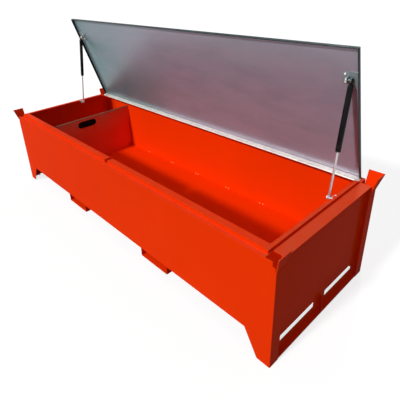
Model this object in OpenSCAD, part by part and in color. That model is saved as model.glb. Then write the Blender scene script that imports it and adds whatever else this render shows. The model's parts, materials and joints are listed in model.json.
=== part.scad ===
// Fluorescent tube storage box: a folded sheet-steel trough on four tapered feet,
// with fork pockets, flared stacking corners, a lift-out divider and a lid on gas struts.
// Origin: middle of the footprint on the ground. X runs along the box, -Y is the front,
// +Y is the hinge side, Z is up. All sizes are in millimetres.
// The lid is drawn open, as the box is shown.

/* [Box] */
// Outside length over the corner posts
box_length = 1800; // [1200:10:2400]
// Outside width over the front and back walls
box_width = 605; // [400:5:900]
// Height of the rim above the ground
rim_height = 410; // [250:5:700]
// Sheet thickness of the walls, ends and floor
sheet = 2; // [1.5:0.5:4]
// Height of the long walls' bottom edge above the ground
wall_bottom = 97; // [60:1:180]

/* [Posts and feet] */
// Width of the corner post seen from the end
post_width = 45; // [25:1:90]
// How far the end panel stands back behind the post
post_step = 13.5; // [5:0.5:40]
// Length of a foot at the ground
foot_sole = 50; // [30:1:120]
// Length of a foot where it meets the wall's bottom edge
foot_top = 103; // [60:1:200]
// Depth of the flange folded in along a long wall's bottom edge
bottom_flange = 30; // [15:1:60]

/* [Rim] */
// Width of the front rim outside the raised lip
front_flange = 17.5; // [10:0.5:40]
// Width of the end rim outside the raised lip
end_flange = 42; // [20:1:80]
// Width of the flat back rim that carries the hinge
back_flange = 40.5; // [25:0.5:80]
// Height of the raised lip above the rim
lip_height = 12; // [6:0.5:30]
// Width of the ledge on top of the front lip
front_ledge = 29; // [10:0.5:40]
// Width of the ledge on top of the end lips
end_ledge = 14; // [8:0.5:30]
// Distance from the hinge at which the end lips stop
lip_stop = 13; // [8:0.5:40]
// Width of the lock notch in the front lip
lock_width = 20; // [10:1:60]
// Position of the lock notch along the box
lock_x = 29; // [-200:1:200]
// Side of the square cut out of the rim at each corner
corner_cut = 40; // [20:1:60]

/* [End panels] */
// Height of the end panel's bottom edge above the ground
end_bottom = 11; // [5:0.5:60]
// Distance of each slot's outer end from the post
slot_margin = 23.5; // [10:0.5:80]
// Height of each slot
slot_height = 26; // [10:1:60]
// Height of the slots' lower edge above the ground
slot_bottom = 48; // [20:1:120]
// Distance of each slot from the middle of the end
slot_inset = 36; // [15:1:90]
// Corner radius of the slots
slot_radius = 2; // [1:0.5:12]
// Depth of the small lip under the end panel
end_lip = 7; // [3:0.5:15]
// Height of the rib between the slots
rib_height = 77; // [30:1:120]
// Thickness of the rib between the slots
rib_thickness = 3; // [2:0.5:8]

/* [Fork pockets] */
// Distance between the middles of the two fork pockets
fork_spacing = 624; // [300:1:1000]
// How far the pair of pockets sits off the middle, towards the right end
fork_shift = 22; // [-60:1:60]
// Outside width of a fork pocket
fork_width = 163; // [100:1:260]
// Depth of a fork pocket below the wall's bottom edge
fork_depth = 38; // [25:1:90]
// Thickness of the fork pocket's channel
fork_sheet = 3; // [2:0.5:6]

/* [Stacking corners] */
// Height of a stacking corner above the rim
lug_height = 33; // [15:1:100]
// Depth below the rim at which a stacking corner starts
lug_root = 30; // [10:1:60]
// How far a stacking corner flares outwards
lug_flare = 17; // [5:1:60]
// Plate thickness of a stacking corner
lug_sheet = 4; // [2:0.5:8]
// Width of the relief notch in the front wall beside a stacking corner
relief_width = 14; // [6:1:30]
// Height of the relief notch below the rim
relief_height = 17; // [5:1:25]

/* [Divider] */
// Distance of the divider from the left end
divider_place = 251; // [120:1:900]
// Height of the divider's top above the ground
divider_top = 369; // [200:1:400]
// Width of the fold along the divider's top
divider_fold = 18; // [8:1:40]
// Length of the grip hole
grip_length = 115; // [60:1:200]
// Height of the grip hole
grip_height = 35; // [20:1:60]
// Depth of the grip hole's middle below the divider's top
grip_drop = 34; // [25:1:90]
// Gap round the divider, to the walls and clips
divider_gap = 0.5; // [0.3:0.1:3]
// Length of a clip along the divider
clip_length = 24; // [10:1:60]
// Height of a clip
clip_height = 18; // [8:1:60]
// Width of a clip's foot on the floor
clip_foot = 14; // [6:1:40]
// Length of the floor's small welding tabs
tab_length = 30; // [10:1:80]
// Height of the welding tabs
tab_height = 10; // [5:1:30]

/* [Lid] */
// Opening angle of the lid
open_angle = 71.5; // [0:0.5:100]
// Sheet thickness of the lid
lid_sheet = 1.5; // [1:0.5:3]
// Depth of the lid's folded edges, sheet included
lid_fold = 13; // [10:0.5:50]
// How far the lid's front edge overlaps the front ledge
lid_rest = 2.5; // [2:0.5:15]
// Distance of the lid's ends from the outer face of the end lips
lid_side_gap = 5; // [2:0.5:12]
// Gap left under the lid's edges when it is shut
seat_gap = 0.2; // [0.1:0.1:2]

/* [Hinge] */
// Outer radius of the hinge knuckles
knuckle_r = 3.5; // [2.5:0.5:6]
// Radius of the hinge pin
pin_r = 1.5; // [1:0.5:3]
// Thickness of the hinge leaves
leaf = 1.5; // [1:0.5:3]
// Number of hinge knuckles
knuckles = 21; // [5:2:41]
// Width of the hinge leaves
leaf_width = 24; // [15:1:40]
// Running gap round turning and sliding parts
run_gap = 0.3; // [0.2:0.1:1]

/* [Gas struts] */
// Distance of the struts' plane from the outer face of the end lips
strut_inset = 27; // [20:1:60]
// Distance from the hinge to the strut's lower pivot
strut_low_y = 168; // [80:1:260]
// Height of the lower pivot above the rim
strut_low_z = 2; // [-40:1:10]
// Distance from the hinge to the strut's upper pivot on the lid
strut_high = 408; // [250:1:500]
// Height of the upper pivot above the hinge's axis, with the lid shut
strut_high_z = 10; // [-10:0.5:20]
// Outer radius of the strut's tube
tube_r = 9; // [5:0.5:14]
// Inner radius of the strut's tube
tube_bore = 7.5; // [4:0.5:12]
// Length of the strut's tube
tube_length = 215; // [120:1:400]
// Radius of the strut's rod
rod_r = 4; // [2:0.5:8]
// Radius of the studs that carry the strut
stud_r = 4; // [2:0.5:8]
// Outer radius of the strut's end eyes
eye_r = 7; // [5:0.5:14]
// Thickness of the strut's end eyes
eye_thick = 8; // [4:0.5:14]
// Length of the neck between the strut's tube and its eye
neck = 8; // [5:0.5:20]
// Reach of the rod's piston inside the tube with the lid open
piston_reach = 26; // [15:1:60]
// Plate thickness of the strut brackets
bracket = 2; // [1.5:0.5:5]
// Length of a bracket's pad along the box's width
pad_length = 36; // [20:1:80]
// Width of the upper bracket's pad
pad_width = 22; // [12:1:50]

/* [Hidden] */
half_x = box_length / 2;
half_y = box_width / 2;
panel_x = half_x - post_step;
post_y = half_y - post_width;
lip_x = half_x - end_flange;
lip_y = half_y - front_flange;
rim_under = rim_height - sheet;
lip_top = rim_height + lip_height;
lug_low = rim_height - lug_root;
cut_x = half_x - corner_cut;
cut_y = half_y - corner_cut;
slot_end = post_y - slot_margin;
slot_top = slot_bottom + slot_height;
divider_x = -half_x + divider_place;
floor_z = wall_bottom + sheet;
floor_top = floor_z + sheet;
hinge_flange_y = half_y - back_flange;
axis_y = hinge_flange_y - knuckle_r - 0.5;
axis_z = rim_height + knuckle_r + 0.2;
lip_end_y = axis_y - lip_stop;
lid_back = axis_y - knuckle_r;
lid_front = -(lip_y - front_ledge) - lid_rest;
lid_x = lip_x - lid_side_gap;
lid_edge = lid_back + leaf;
lid_low = lip_top + seat_gap;
lid_top = lid_low + lid_fold;
lid_under = lid_top - lid_sheet;
// A whole number, so that the last knuckle ends where the leaf ends
pitch = floor(2 * (lid_x - 2) / knuckles);
hinge_half = pitch * knuckles / 2;
knuckle_len = pitch - run_gap;
hinge_end = hinge_half - run_gap;
leaf_clear = knuckle_r + run_gap + 0.2;
strut_x = lip_x - strut_inset;
low_y = axis_y - strut_low_y;
low_z = rim_height + strut_low_z;
// Upper pivot with the lid shut, and at rest with the lid open
shut_y = axis_y - strut_high;
shut_z = axis_z + strut_high_z;
top_y = axis_y - strut_high * cos(open_angle) + strut_high_z * sin(open_angle);
top_z = axis_z + strut_high * sin(open_angle) + strut_high_z * cos(open_angle);
strut_len = sqrt(pow(top_y - low_y, 2) + pow(top_z - low_z, 2));
strut_tilt = atan2(top_z - low_z, top_y - low_y);
cap_len = eye_r + neck;
tube_low = strut_len - cap_len - tube_length;
rod_len = tube_low + piston_reach;
fork_low = wall_bottom - fork_depth;
tabs_x = [-456, -237, -28, 195, 410];
orange = [0.88, 0.20, 0.03];
orange_inner = [0.85, 0.18, 0.03];
zinc = [0.62, 0.66, 0.68];
bright = [0.80, 0.81, 0.82];
black = [0.04, 0.04, 0.045];
steel = [0.55, 0.56, 0.58];
$fn = 32;

// The piece to draw, or all of them

// A block between two opposite corners
module block(a, b) {
  translate(a) cube(b - a);
}

// Turns a lid piece from its closed place to the open angle
module lid_pose() {
  translate([0, axis_y, axis_z]) rotate([-open_angle, 0, 0]) translate([0, -axis_y, -axis_z]) children();
}

// A long wall in front-side position: plate with tapered feet, posts and bottom flange.
// The corner points give the plate's top outline beside the right stacking corner.
module wall_body(corner) {
  taper_x = half_x - foot_top;
  sole_x = half_x - foot_sole;
  last = len(corner) - 1;
  left_corner = [for (i = [last : -1 : 0]) [-corner[i][0], corner[i][1]]];
  feet = [
    [-half_x, 0], [-sole_x, 0], [-taper_x, wall_bottom],
    [taper_x, wall_bottom], [sole_x, 0], [half_x, 0]
  ];
  outline = concat(feet, corner, left_corner);
  translate([0, -half_y + sheet, 0]) rotate([90, 0, 0]) linear_extrude(sheet) polygon(outline);
  block([-taper_x, -half_y + sheet, wall_bottom], [taper_x, -half_y + bottom_flange, floor_z]);
  for (s = [-1, 1]) {
    mirror([s < 0 ? 1 : 0, 0, 0]) {
      block([half_x - sheet, -half_y + sheet, 0], [half_x, -post_y, lug_low]);
      block([half_x - sheet, -cut_y, lug_low], [half_x, -post_y, rim_under]);
      block([panel_x - sheet, -post_y - sheet, 0], [half_x - sheet, -post_y, rim_under]);
    }
  }
}

module front_wall() {
  notch_x = half_x - relief_width;
  notch_z = rim_height - relief_height;
  color(orange) wall_body([
    [half_x, lug_low], [half_x - lug_sheet, lug_low], [half_x - lug_sheet, notch_z], [notch_x, notch_z],
    [notch_x, rim_height], [cut_x, rim_height], [cut_x, rim_under]
  ]);
}

// The front rim, folded in from the wall's top edge as far as the raised lip
module front_rim() {
  color(orange) block([-cut_x, -half_y, rim_under], [cut_x, -lip_y + sheet, rim_height]);
}

// A strip of the front lip in two lengths, with the lock notch between them. Its low and
// high corners are given as pairs of Y and Z.
module lip_lengths(x_end, low, high) {
  color(orange) difference() {
    block([-x_end, low[0], low[1]], [x_end, high[0], high[1]]);
    block([lock_x - lock_width / 2, low[0] - 1, low[1] - 1],
      [lock_x + lock_width / 2, high[0] + 1, high[1] + 1]);
  }
}

// The raised upright of the front lip
module front_lip() {
  lip_lengths(lip_x - sheet, [-lip_y, rim_height], [-lip_y + sheet, lip_top - sheet]);
}

// The ledge folded inwards from the front lip, on which the shut lid rests
module front_ledge() {
  lip_lengths(lip_x - end_ledge, [-lip_y, lip_top - sheet], [-lip_y + front_ledge, lip_top]);
}

module back_wall() {
  color(orange) mirror([0, 1, 0]) wall_body([[half_x, lug_low], [cut_x, lug_low], [cut_x, rim_under]]);
}

// The flat back rim, which carries the hinge
module back_rim() {
  color(orange) block([-cut_x, hinge_flange_y, rim_under], [cut_x, half_y, rim_height]);
}

// The end panel's upper part, above the slots
module end_panel() {
  color(orange) block([panel_x - sheet, -post_y, slot_top], [panel_x, post_y, rim_under]);
}

// A web of sheet beside the slots, from y0 to y1, with rounded corners towards each slot
module end_web(y0, y1, low_side, high_side) {
  r = slot_radius;
  z0 = slot_bottom;
  x0 = panel_x - sheet;
  block([x0, y0, z0], [panel_x, y1, slot_top]);
  for (z = [z0, slot_top - r]) {
    for (side = [if (low_side) -1, if (high_side) 1]) {
      y = side < 0 ? y0 - r : y1;
      yc = side < 0 ? y : y + r;
      zc = z == z0 ? z + r : z;
      difference() {
        block([x0, y, z], [panel_x, y + r, z + r]);
        translate([x0 - 1, yc, zc]) rotate([0, 90, 0]) cylinder(r = r, h = sheet + 2);
      }
    }
  }
}

// The three webs between and beside the two slots
module end_webs() {
  color(orange) {
    end_web(-post_y, -slot_end, false, true);
    end_web(-slot_inset, slot_inset, true, true);
    end_web(slot_end, post_y, true, false);
  }
}

// The end panel's lower part: a sill below the slots, folded outwards and down
module end_sill() {
  color(orange) {
    block([panel_x - sheet, -post_y, end_bottom], [panel_x, post_y, slot_bottom]);
    block([panel_x, -post_y, end_bottom], [half_x, post_y, end_bottom + sheet]);
    block([half_x - sheet, -post_y, end_bottom - end_lip], [half_x, post_y, end_bottom]);
  }
}

module end_rail() {
  color(orange) {
    block([lip_x - sheet, -lip_y + sheet, rim_under], [cut_x, hinge_flange_y, rim_height]);
    block([cut_x, -cut_y, rim_under], [half_x, hinge_flange_y, rim_height]);
    block([lip_x - sheet, -lip_y, rim_height], [lip_x, lip_end_y, lip_top - sheet]);
    block([lip_x - end_ledge, -lip_y, lip_top - sheet], [lip_x, lip_end_y, lip_top]);
  }
}

module end_rib() {
  z0 = end_bottom + sheet;
  profile = [[panel_x, z0], [half_x, z0], [half_x, z0 + rib_height - 15], [panel_x, z0 + rib_height]];
  color(orange) translate([0, rib_thickness / 2, 0]) rotate([90, 0, 0])
    linear_extrude(rib_thickness) polygon(profile);
}

module floor_panel() {
  in_y = half_y - sheet;
  color(orange_inner) {
    block([-panel_x + sheet, -in_y, floor_z], [panel_x - sheet, in_y, floor_top]);
    for (sx = [-1, 1]) {
      for (sy = [-1, 1]) {
        mirror([sx < 0 ? 1 : 0, 0, 0]) mirror([0, sy < 0 ? 1 : 0, 0])
          block([panel_x - sheet, post_y + sheet, floor_z], [half_x - sheet, in_y, floor_top]);
      }
    }
    for (x = tabs_x) {
      x0 = x - tab_length / 2;
      for (sy = [-1, 1]) {
        mirror([0, sy < 0 ? 1 : 0, 0])
          block([x0, in_y - sheet, floor_top], [x0 + tab_length, in_y, floor_top + tab_height]);
      }
    }
  }
}

// A fork pocket with its middle at xc
module fork_channel(xc) {
  x0 = xc - fork_width / 2;
  x1 = xc + fork_width / 2;
  color(orange) {
    block([x0, -half_y, fork_low], [x1, half_y, fork_low + fork_sheet]);
    for (x = [x0, x1 - fork_sheet]) {
      block([x, -half_y, fork_low + fork_sheet], [x + fork_sheet, half_y, wall_bottom]);
      block([x, -half_y + bottom_flange, wall_bottom], [x + fork_sheet, half_y - bottom_flange, floor_z]);
    }
  }
}

// The end plate of a stacking corner, drawn for the back right post: it starts on the post's
// end face, below the rim, leans outwards and grows wider towards the corner
module lug_end() {
  t = lug_sheet;
  thin = 0.01;
  top = rim_height + lug_height;
  hull() {
    translate([half_x - t, cut_y, lug_low]) cube([t, corner_cut - sheet, thin]);
    translate([half_x - t + lug_flare, cut_y, top - thin]) cube([t, corner_cut + lug_flare, thin]);
  }
}

// A front corner has the end plate alone
module lug_front() {
  color(orange) mirror([0, 1, 0]) lug_end();
}

// A back corner has a second plate that carries the back wall on upwards
module lug_back() {
  t = lug_sheet;
  thin = 0.01;
  top = rim_height + lug_height;
  color(orange) {
    lug_end();
    hull() {
      translate([cut_x, half_y - t, lug_low]) cube([corner_cut - sheet, t, thin]);
      translate([cut_x, half_y - t + lug_flare, top - thin]) cube([corner_cut + lug_flare, t, thin]);
    }
  }
}

module divider_plate() {
  in_y = half_y - sheet - divider_gap;
  x0 = divider_x - sheet / 2;
  x1 = divider_x + sheet / 2;
  r = grip_height / 2;
  zc = divider_top - grip_drop;
  color(orange_inner) {
    difference() {
      block([x0, -in_y, floor_top], [x1, in_y, divider_top]);
      block([x0 - 1, -grip_length / 2 + r, zc - r], [x1 + 1, grip_length / 2 - r, zc + r]);
      for (y = [-grip_length / 2 + r, grip_length / 2 - r]) {
        translate([x0 - 1, y, zc]) rotate([0, 90, 0]) cylinder(r = r, h = sheet + 2);
      }
    }
    block([x0 - divider_fold, -in_y, divider_top - sheet], [x0, in_y, divider_top]);
  }
}

// Small angle clips on the floor that keep the divider in its place
module divider_clips() {
  in_y = half_y - sheet;
  g = sheet / 2 + divider_gap;
  color(orange_inner) {
    for (sx = [-1, 1]) {
      for (sy = [-1, 1]) {
        translate([divider_x, 0, 0]) mirror([sx < 0 ? 1 : 0, 0, 0]) mirror([0, sy < 0 ? 1 : 0, 0]) {
          block([g, in_y - clip_length, floor_top], [g + sheet, in_y, floor_top + clip_height]);
          block([g + sheet, in_y - clip_length, floor_top], [g + sheet + clip_foot, in_y, floor_top + sheet]);
        }
      }
    }
  }
}

// Start of knuckle number i along the hinge
function knuckle_x(i) = -hinge_half + i * pitch;

// The bore of the hinge along its axis
module hinge_bore(r) {
  translate([-hinge_half - 1, axis_y, axis_z]) rotate([0, 90, 0]) cylinder(r = r, h = 2 * hinge_half + 2);
}

module hinge_leaf_box() {
  color(steel) difference() {
    union() {
      for (i = [0 : 2 : knuckles - 1]) {
        x = knuckle_x(i);
        block([x, axis_y + 1, rim_height], [x + knuckle_len, axis_y + leaf_width, rim_height + leaf]);
        translate([x, axis_y, axis_z]) rotate([0, 90, 0]) cylinder(r = knuckle_r, h = knuckle_len);
      }
      block([-hinge_half, axis_y + leaf_clear, rim_height],
        [hinge_end, axis_y + leaf_width, rim_height + leaf]);
    }
    hinge_bore(pin_r + 0.05);
  }
}

module hinge_pin() {
  color(bright) translate([-hinge_half, axis_y, axis_z]) rotate([0, 90, 0])
    cylinder(r = pin_r, h = 2 * hinge_half - run_gap);
}

module hinge_leaf_lid() {
  color(steel) lid_pose() difference() {
    union() {
      for (i = [1 : 2 : knuckles - 2]) {
        x = knuckle_x(i);
        block([x, lid_back, axis_z + 1], [x + knuckle_len, lid_back + leaf, lid_under - 2]);
        translate([x, axis_y, axis_z]) rotate([0, 90, 0]) cylinder(r = knuckle_r, h = knuckle_len);
      }
      block([-hinge_half, lid_back, axis_z + leaf_clear], [hinge_end, lid_back + leaf, lid_under - 2]);
    }
    hinge_bore(pin_r + run_gap);
  }
}

module lid_panel() {
  color(zinc) lid_pose() block([-lid_x, lid_front, lid_under], [lid_x, lid_edge + lid_sheet, lid_top]);
}

module lid_fold_front() {
  color(zinc) lid_pose() block([-lid_x, lid_front, lid_low], [lid_x, lid_front + lid_sheet, lid_under]);
}

// The lid's back fold lies outside the hinge leaf, so the leaf shows from within
module lid_fold_back() {
  color(zinc) lid_pose()
    block([-lid_x, lid_edge, axis_z + knuckle_r + 0.7], [lid_x, lid_edge + lid_sheet, lid_under]);
}

module lid_fold_end() {
  color(zinc) lid_pose()
    block([lid_x - lid_sheet, lid_front + lid_sheet, lid_low], [lid_x, lid_edge, lid_under]);
}

// Lower strut bracket on the right end lip, with its stud
module strut_bracket_box() {
  wall_x = lip_x - end_ledge - bracket;
  stud_x = strut_x - eye_thick / 2 - 1;
  pad_z = lip_top - sheet - bracket;
  color(bright) {
    block([wall_x, low_y - pad_length / 2, pad_z], [lip_x - sheet, low_y + pad_length / 2, pad_z + bracket]);
    block([wall_x, low_y - eye_r - 5, low_z - 10], [wall_x + bracket, low_y + eye_r + 5, pad_z]);
    translate([stud_x, low_y, low_z]) rotate([0, 90, 0]) cylinder(r = stud_r, h = wall_x - stud_x);
    translate([stud_x - 1.5, low_y, low_z]) rotate([0, 90, 0]) cylinder(r = stud_r + 2, h = 2);
  }
}

// Upper strut bracket under the lid, with its stud
module strut_bracket_lid() {
  plate_x = strut_x - eye_thick / 2 - 9;
  pad_z = lid_under - bracket;
  stud_x = plate_x + bracket;
  stud_end = strut_x - eye_thick / 2 - run_gap - 0.1;
  color(bright) lid_pose() {
    block([plate_x - pad_width, shut_y - pad_length / 2, pad_z], [stud_x, shut_y + pad_length / 2, lid_under]);
    block([plate_x, shut_y - 10, shut_z - 9], [stud_x, shut_y + 10, pad_z]);
    translate([stud_x, shut_y, shut_z]) rotate([0, 90, 0]) cylinder(r = stud_r, h = stud_end - stud_x);
  }
}

// Places a strut piece on the line from the lower to the upper pivot of side s
module strut_line(s) {
  translate([s * strut_x, low_y, low_z]) rotate([strut_tilt - 90, 0, 0]) children();
}

module strut_tube(s) {
  // The upper eye is a cup, open towards the stud on the lid's bracket
  cup_x = s > 0 ? -eye_thick / 2 - 1 : -eye_thick / 2 + 2;
  color(black) strut_line(s) difference() {
    union() {
      translate([0, 0, tube_low]) cylinder(r = tube_r, h = tube_length);
      translate([0, 0, tube_low + tube_length]) cylinder(r = 4, h = neck + 2);
      translate([-eye_thick / 2, 0, strut_len]) rotate([0, 90, 0]) cylinder(r = eye_r, h = eye_thick);
    }
    translate([0, 0, tube_low + 3]) cylinder(r = tube_bore, h = tube_length - 8);
    translate([0, 0, tube_low - 1]) cylinder(r = rod_r + run_gap, h = 6);
    translate([cup_x, 0, strut_len]) rotate([0, 90, 0]) cylinder(r = stud_r + run_gap, h = eye_thick - 1);
  }
}

module strut_rod(s) {
  color(bright) strut_line(s) difference() {
    union() {
      cylinder(r = rod_r, h = rod_len);
      translate([0, 0, eye_r]) cylinder(r = rod_r + 1.5, h = 2);
      translate([0, 0, rod_len - 8]) cylinder(r = tube_bore - run_gap, h = 8);
      translate([-eye_thick / 2, 0, 0]) rotate([0, 90, 0]) cylinder(r = eye_r, h = eye_thick);
    }
    translate([-eye_thick / 2 - 1, 0, 0]) rotate([0, 90, 0]) cylinder(r = stud_r + run_gap, h = eye_thick + 2);
  }
}

front_wall();
front_rim();
front_lip();
front_ledge();
back_wall();
back_rim();
mirror([1, 0, 0]) end_panel();  // end_panel_left
end_panel();  // end_panel_right
mirror([1, 0, 0]) end_webs();  // end_webs_left
end_webs();  // end_webs_right
mirror([1, 0, 0]) end_sill();  // end_sill_left
end_sill();  // end_sill_right
mirror([1, 0, 0]) end_rail();  // end_rail_left
end_rail();  // end_rail_right
floor_panel();
fork_channel(fork_shift - fork_spacing / 2);  // fork_channel_left
fork_channel(fork_shift + fork_spacing / 2);  // fork_channel_right
mirror([1, 0, 0]) end_rib();  // end_rib_left
end_rib();  // end_rib_right
mirror([1, 0, 0]) lug_front();  // lug_front_left
lug_front();  // lug_front_right
mirror([1, 0, 0]) lug_back();  // lug_back_left
lug_back();  // lug_back_right
divider_plate();
divider_clips();
hinge_leaf_box();
hinge_pin();
hinge_leaf_lid();
lid_panel();
lid_fold_front();
lid_fold_back();
mirror([1, 0, 0]) lid_fold_end();  // lid_fold_left
lid_fold_end();  // lid_fold_right
mirror([1, 0, 0]) strut_bracket_box();  // strut_bracket_box_left
strut_bracket_box();  // strut_bracket_box_right
mirror([1, 0, 0]) strut_bracket_lid();  // strut_bracket_lid_left
strut_bracket_lid();  // strut_bracket_lid_right
strut_tube(-1);  // strut_tube_left
strut_tube(1);  // strut_tube_right
strut_rod(-1);  // strut_rod_left
strut_rod(1);  // strut_rod_right
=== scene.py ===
# %% [markdown]
# # A storage box for fluorescent tubes
# The real object is a long trough folded from 2 mm steel sheet, welded at its corners and
# powder coated orange. A zinc-coated lid hangs on a long pin hinge at the back, and two gas
# struts hold it open. The packed CAD model already gives every main form its right place, so
# this lesson adds what a drawing leaves out: finishes, rounded folds, weld beads, rivets,
# the struts' rolled tubes and the divider's black grip.

# %% Load the frame
import json
import math

import bmesh
import bpy
from mathutils import Matrix, Vector


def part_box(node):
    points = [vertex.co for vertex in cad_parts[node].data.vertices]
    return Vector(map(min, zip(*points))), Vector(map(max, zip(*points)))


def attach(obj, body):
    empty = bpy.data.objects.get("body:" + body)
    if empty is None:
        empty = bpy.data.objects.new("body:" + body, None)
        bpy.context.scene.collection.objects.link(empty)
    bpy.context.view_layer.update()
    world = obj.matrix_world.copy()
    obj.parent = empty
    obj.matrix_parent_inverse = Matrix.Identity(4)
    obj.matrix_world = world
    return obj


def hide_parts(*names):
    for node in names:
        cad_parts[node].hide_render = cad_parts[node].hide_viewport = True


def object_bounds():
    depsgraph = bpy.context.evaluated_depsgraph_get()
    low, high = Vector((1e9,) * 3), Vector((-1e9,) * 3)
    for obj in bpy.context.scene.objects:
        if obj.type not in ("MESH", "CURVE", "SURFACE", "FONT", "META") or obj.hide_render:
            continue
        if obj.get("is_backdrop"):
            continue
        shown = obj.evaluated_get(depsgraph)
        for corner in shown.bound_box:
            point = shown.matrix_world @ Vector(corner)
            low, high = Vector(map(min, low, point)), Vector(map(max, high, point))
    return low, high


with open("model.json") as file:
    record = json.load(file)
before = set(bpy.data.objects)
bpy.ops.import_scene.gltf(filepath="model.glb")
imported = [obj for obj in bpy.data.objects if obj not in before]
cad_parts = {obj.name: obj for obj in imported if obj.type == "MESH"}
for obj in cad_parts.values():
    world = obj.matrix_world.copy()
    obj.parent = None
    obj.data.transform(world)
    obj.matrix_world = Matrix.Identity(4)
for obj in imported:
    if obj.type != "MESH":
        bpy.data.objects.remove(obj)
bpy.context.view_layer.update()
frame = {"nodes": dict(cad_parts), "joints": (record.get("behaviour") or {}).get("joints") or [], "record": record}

# %% [markdown]
# ## Where the photographer stood
# The long straight edges of the box run to vanishing points, and those give the camera: its
# place, the way it looks and its focal length. The picture was cropped off centre, so the
# camera is shifted a little, which a turn of the camera can't copy without bending the
# perspective.

# %% Camera
def photo_camera(place, azimuth, elevation, roll, focal, centre, size=400):
    """A camera from angles in degrees and a focal length and picture centre in pixels."""
    a, e, r = (math.radians(v) for v in (azimuth, elevation, roll))
    forward = Vector((-math.sin(a) * math.cos(e), math.cos(a) * math.cos(e), -math.sin(e)))
    level = Vector((math.cos(a), math.sin(a), 0))
    upright = level.cross(forward)
    side = level * math.cos(r) + upright * math.sin(r)
    top = upright * math.cos(r) - level * math.sin(r)
    data = bpy.data.cameras.new("photo_camera")
    data.sensor_width = 36
    data.lens = 36 * focal / size
    data.shift_x = (size / 2 - centre[0]) / size
    data.shift_y = (centre[1] - size / 2) / size
    camera = bpy.data.objects.new("photo_camera", data)
    bpy.context.collection.objects.link(camera)
    turn = Matrix((side, top, -forward)).transposed().to_4x4()
    camera.matrix_world = Matrix.Translation(place) @ turn
    bpy.context.scene.camera = camera
    return camera


camera = photo_camera(
    place=(1.3432, -1.0075, 1.1233),
    azimuth=49.3,
    elevation=24.7,
    roll=-3.0,
    focal=385.3,
    centre=(178.5, 150.6),
)
print("camera lens", round(camera.data.lens, 2), "shift", camera.data.shift_x, camera.data.shift_y)

# %% [markdown]
# ## Writing node trees as plain maths
# A finish is a tree of nodes. Wiring them by hand hides what the tree works out, so two small
# helpers let the lesson write it down as sums. A Wire is one output socket, and an operator
# between wires and numbers adds the Math node that does it. A NodeTree makes every other node
# with one method, which sets the node's settings before its sockets.

# %% Wires
class Wire:
    """An output socket that can be added, subtracted and multiplied."""

    def __init__(self, tree, socket):
        self.tree = tree
        self.socket = socket

    def also(self, out):
        """Another output of the same node."""
        return Wire(self.tree, self.socket.node.outputs[out])

    def sum(self, operation, a, b):
        return self.tree.node("ShaderNodeMath", {"operation": operation}, {0: a, 1: b})

    def __add__(self, other):
        return self.sum("ADD", self, other)

    def __sub__(self, other):
        return self.sum("SUBTRACT", self, other)

    def __rsub__(self, other):
        return self.sum("SUBTRACT", other, self)

    def __mul__(self, other):
        return self.sum("MULTIPLY", self, other)

    __radd__ = __add__
    __rmul__ = __mul__


print("wires know", [name for name in vars(Wire) if not name.startswith("_")], "and + - *")


# %% Node trees
class NodeTree:
    """Makes the nodes of a material or of the world."""

    def __init__(self, owner, shader):
        owner.use_nodes = True
        self.tree = owner.node_tree
        self.shader = self.tree.nodes[shader]

    def node(self, kind, settings={}, sockets={}, out=0):
        made = self.tree.nodes.new(kind)
        for key, value in settings.items():
            setattr(made, key, value)
        for key, value in sockets.items():
            self.join(made.inputs[key], value)
        return Wire(self, made.outputs[out])

    def join(self, socket, value):
        if isinstance(value, Wire):
            self.tree.links.new(value.socket, socket)
        elif hasattr(value, "__len__") and len(value) == 3 and socket.type == "RGBA":
            socket.default_value = (*value, 1)
        else:
            socket.default_value = value

    def feed(self, **sockets):
        """Sets the shader's own sockets; an underscore in a name stands for a space."""
        for key, value in sockets.items():
            self.join(self.shader.inputs[key.replace("_", " ")], value)

    def range(self, value, low, high, to_low=0.0, to_high=1.0):
        sockets = {"Value": value, 1: low, 2: high, 3: to_low, 4: to_high}
        return self.node("ShaderNodeMapRange", {"clamp": True}, sockets)

    def blend(self, mask, a, b):
        settings = {"data_type": "RGBA", "clamp_factor": True}
        return self.node("ShaderNodeMix", settings, {0: mask, 6: a, 7: b}, 2)

    def seen_directly(self):
        """1 for what the camera sees, straight on, in a mirror or through glass, else 0."""
        ray = self.node("ShaderNodeLightPath", out="Is Camera Ray")
        return self.range(ray + ray.also("Is Glossy Ray") + ray.also("Is Transmission Ray"), 0, 1)


print("node trees know", [name for name in vars(NodeTree) if not name.startswith("_")])

# %% [markdown]
# ## Patterns that a finish is made of
# Paint, zinc and plastic all differ a little from spot to spot, and they wear where they are
# touched. Images could show that, but each piece would have to be unwrapped and painted. A
# pattern worked out from the place on the piece needs neither, has no seams and is fine at
# any distance. A few are used again and again: noise for what is uneven, the Bevel node for
# worn edges, the way a face looks for its top side, and a bump for what is too fine to model.

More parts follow.
